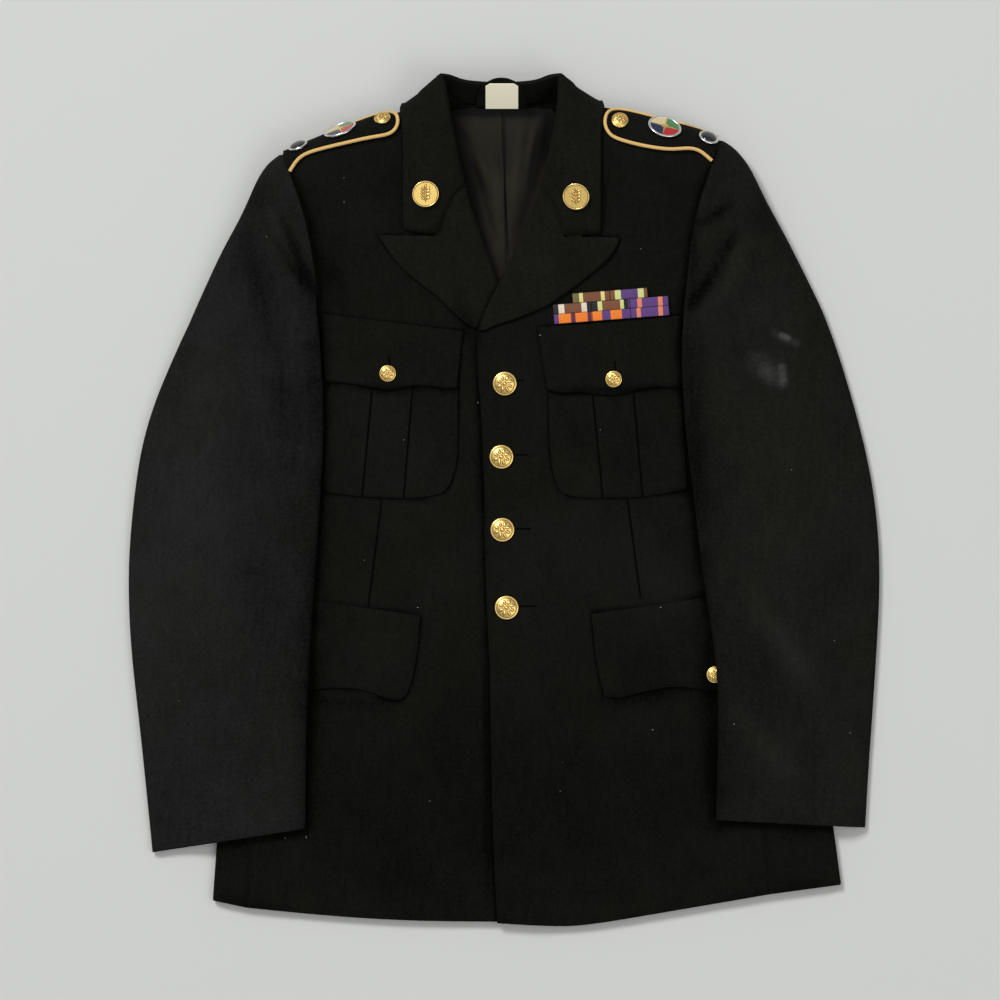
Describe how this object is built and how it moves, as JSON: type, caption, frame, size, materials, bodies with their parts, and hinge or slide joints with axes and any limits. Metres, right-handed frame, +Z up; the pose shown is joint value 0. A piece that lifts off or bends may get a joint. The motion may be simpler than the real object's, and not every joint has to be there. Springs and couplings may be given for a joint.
{
  "type": "military dress tunic",
  "caption": "Black wool military dress tunic, buttoned and laid flat front up, with gold buttons, flapped pockets, shoulder straps and ribbon bars.",
  "frame": {"origin": "on the resting surface, under the middle of the tunic's bounding box", "axes": "+Y from hem to collar, +X towards the wearer's left sleeve, +Z up out of the front"},
  "size_m": [0.7116, 0.8064, 0.0547],
  "materials": {
    "serge": "matt black wool serge",
    "lining": "dark olive satin lining with a soft sheen",
    "patch": "black melton cloth",
    "label": "bare cream woven tape",
    "braid": "old gold round braid",
    "gold": "polished gold-plated brass",
    "enamel": "glossy enamel in a silver rim",
    "black_metal": "glossy black dome in a silver rim",
    "ribbon": "ribbed striped silk ribbon"
  },
  "bodies": {
    "root": {"back": "serge", "back_lining": "lining", "breast_button_left": "gold", "breast_button_right": "gold", "breast_flap_left": "serge", "breast_flap_right": "serge", "breast_pocket_left": "serge", "breast_pocket_right": "serge", "collar": "serge", "collar_disc_left": "gold", "collar_disc_right": "gold", "front_button_1": "gold", "front_button_2": "gold", "front_button_3": "gold", "front_button_4": "gold", "front_left": "serge", "front_right": "serge", "hip_button_left": "gold", "hip_button_right": "gold", "hip_flap_left": "serge", "hip_flap_right": "serge", "label": "label", "lapel_left": "serge", "lapel_right": "serge", "neck_patch": "patch", "piping_left": "braid", "piping_right": "braid", "ribbon_rack": "ribbon", "shoulder_strap_left": "serge", "shoulder_strap_right": "serge", "side_panel_left": "serge", "side_panel_right": "serge", "sleeve_left_under": "serge", "sleeve_left_upper": "serge", "sleeve_right_under": "serge", "sleeve_right_upper": "serge", "strap_badge_left": "enamel", "strap_badge_right": "enamel", "strap_button_left": "gold", "strap_button_right": "gold", "strap_stud_left": "black_metal", "strap_stud_right": "black_metal"}
  },
  "joints": []
}
